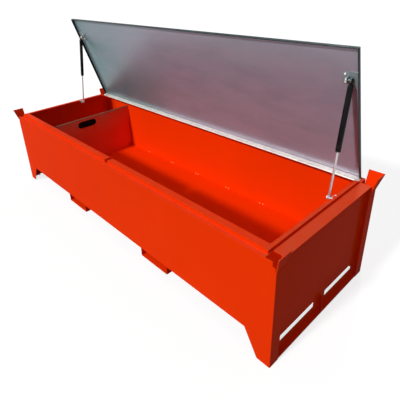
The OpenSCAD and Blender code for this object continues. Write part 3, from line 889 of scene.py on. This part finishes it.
# Pairs of how far a ring lies under the lid's sheet and how far it is drawn in
plate_rings = [(0, 0), (0.0010, 0), (0.0014, 0.0004)]
for side, sx in (("left", -1), ("right", 1)):
    low_x, high_x = sorted((sx * plate_inner, sx * plate_outer))
    middle = Vector(((low_x + high_x) / 2, shut_y))
    corners = (low_x, shut_y - plate_half), (high_x, shut_y + plate_half)
    outline = [Vector(spot) for spot in rounded_outline(*corners, plate_round)]
    backing = bmesh.new()
    rings = []
    for down, drawn_in in plate_rings:
        ring = [spot + (middle - spot).normalized() * drawn_in for spot in outline]
        rings.append([backing.verts.new((*spot, lid_under_z - down)) for spot in ring])
    skin(backing, rings)
    lid_piece("strut_backing_plate_" + side, backing, bracket_zinc)

# %% [markdown]
# ## Lid hems
# The cut edge of the lid's fold would be sharp to the hand, so it is turned back on itself
# into a hem. Seen from inside the lid it is a second, narrower layer with a round edge, and a
# sweep of just that layer along each side is enough, since the bend under it is hidden. The
# hem runs along the front and both sides, and the back fold has the hinge leaf instead.

# %% Lid hems
hem_section = [(0.0, 0.0), (0.0, 5.2), (-0.4, 5.6), (-0.9, 5.2), (-1.0, 0.6), (-0.8, 0.1)]
hem_x, hem_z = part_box("lid_panel")[1].x - 0.0016, hinge_axis.z + 0.0087
hem_front, hem_back = hinge_axis.y - 0.5149, hinge_axis.y - 0.012
route = [(-hem_x, hem_back), (-hem_x, hem_front), (hem_x, hem_front), (hem_x, hem_back)]
hems = bmesh.new()
for start, end in zip(route, route[1:]):
    sweep(hems, [(*start, hem_z), (*end, hem_z)], hem_section, (0, 0, 1))
lid_piece("lid_hems", hems, lid_edge_painted_shade)

# %% [markdown]
# ## Gas struts
# A strut's tube is drawn steel. Its open end is rolled in over the seal, two grooves a little
# above hold the guide, and the other end is pressed to a neck with a thread, where a nut
# locks the eye. All of it is turned, so it comes from one profile on the lathe. The drawing's
# tube has the plain outline only, and the turned one stands for it.

# %% Strut tubes
tilt = Vector(joint("strut_slide_right")["axis"])
strut = opened @ Vector((pivot_x, shut_y, shut_z)) - Vector((pivot_x, pivot_y, pivot_z))
# From here on lengths are in millimetres, and places are measured from the lower pivot
strut_length = round(strut.length * 1000, 2)
neck, tube_length = 15, 215
tube_top = strut_length - neck
tube_low = tube_top - tube_length
groove_heights = (5, 22)


def tube_profile():
    """From the inside of the bore, round the rolled end and up to the threaded neck."""
    inside = [(tube_top - 5, 0), (tube_top - 5, 7.5), (tube_low + 3, 7.5), (tube_low + 3, 4.3)]
    rolled = [(tube_low + 0.3, 4.3), (tube_low, 4.8), (tube_low, 7.4), (tube_low + 0.7, 8.4)]
    groove = []
    for z in groove_heights:
        groove += [(tube_low + z - 2, 9.0), (tube_low + z - 0.9, 8.5), (tube_low + z, 8.3)]
        groove += [(tube_low + z + 0.9, 8.5), (tube_low + z + 2, 9.0)]
    shoulder = [(tube_top - 5, 9.0), (tube_top - 2, 8.7), (tube_top - 0.6, 7.7)]
    shoulder += [(tube_top, 6.0), (tube_top, 4.0)]
    thread = [(tube_top + 0.6 + 0.6 * i, 3.6 if i % 2 else 4.0) for i in range(14)]
    return inside + rolled + groove + shoulder + thread + [(strut_length - 4, 0)]


print("tube from", round(tube_low, 2), "to", round(tube_top, 2), "mm along the strut")

# %% [markdown]
# An eye is a short barrel that sits on a stud, and a spring wire round it keeps it there. The
# drawing's rods have their eyes already, so only the tube gets a new one, and all four get
# their clip. A wire is a round section swept along its path, here a ring that stays open.

# %% Strut eyes and clips
def wire_ring(mesh, centre, radius, gap=0.5):
    """A spring wire round an eye, open by the gap in radians."""
    wire = [(0.45 * math.cos(a), 0.45 * math.sin(a)) for a in (i * math.pi / 4 for i in range(8))]
    turns = [gap / 2 + (2 * math.pi - gap) * i / 28 for i in range(29)]
    path = [Vector(centre) + Vector((0, math.cos(a), math.sin(a))) * radius / 1000 for a in turns]
    sweep(mesh, path, wire, (1, 0, 0))


# Pairs of distance along the stud, outwards, and radius; the bore is open towards the middle
barrel = [(2, 0), (2, 4.3), (-3.6, 4.3), (-4, 4.7)]
barrel += [(-4, 6.4), (-3.4, 7), (3.4, 7), (4, 6.4), (4, 0)]
for side, sx in (("left", -1), ("right", 1)):
    pivot = Vector((sx * pivot_x, pivot_y, pivot_z))
    eye = pivot + tilt * strut_length / 1000
    turned = bmesh.new()
    lathe(turned, tube_profile(), pivot, tilt, 32)
    lathe(turned, barrel, eye, (sx, 0, 0), 28)
    hex_nut(turned, pivot + tilt * (tube_top + 0.6) / 1000, tilt, 11, 4, 3.5)
    tube = piece("strut_tube_turned_" + side, turned, lacquer, "tube_" + side)
    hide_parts("strut_tube_" + side)
    for end, middle, body in (("top", eye, "tube_"), ("low", pivot, "rod_")):
        clip = bmesh.new()
        wire_ring(clip, middle, 7.5)
        piece(f"strut_{end}_clip_{side}", clip, bright_zinc, body + side)

# %% [markdown]
# ## The divider's grip
# In the photo the hole near the divider's top is solid black, edged with a soft highlight.
# That is what a moulded shell looks like that is pressed into a hole: a rounded rim on the
# face and a shallow cup behind it for the fingers. The shell is a stack of rings with the
# outline of the hole, each a little smaller or deeper than the last.

# %% Grip shell
def long_hole(half, radius, steps=10):
    """The outline of a hole with round ends, in the divider's plane, as (y, z) pairs."""
    spots = []
    for end in (1, -1):
        for i in range(steps + 1):
            a = -math.pi / 2 + math.pi * i / steps
            spots.append((end * (half + radius * math.cos(a)), end * radius * math.sin(a)))
    return spots


grip_half, grip_radius = 0.040, 0.0175
face_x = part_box("divider_plate")[1].x
grip_z = divider_top - 0.034
# Pairs of how far a ring stands out of the hole's edge and how far in front of the face
shell = [(-2.2, -13.0), (-0.5, -12.0), (-0.5, -0.2), (1.3, -0.2), (1.7, 0.3), (1.3, 0.9)]
shell += [(0.2, 1.2), (-1.2, 0.8), (-2.0, -0.8), (-2.4, -8.0), (-4.5, -10.8)]
grip = bmesh.new()
rings = []
for out, forward in shell:
    outline = long_hole(grip_half, grip_radius + out / 1000)
    x = face_x + forward / 1000
    rings.append([grip.verts.new((x, y, grip_z + z)) for y, z in outline])
skin(grip, rings)
piece("divider_grip_shell", grip, grip_plastic, "divider")

# %% Size of the visual box
low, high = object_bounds()
print("visual box", [round(v, 4) for v in high - low])
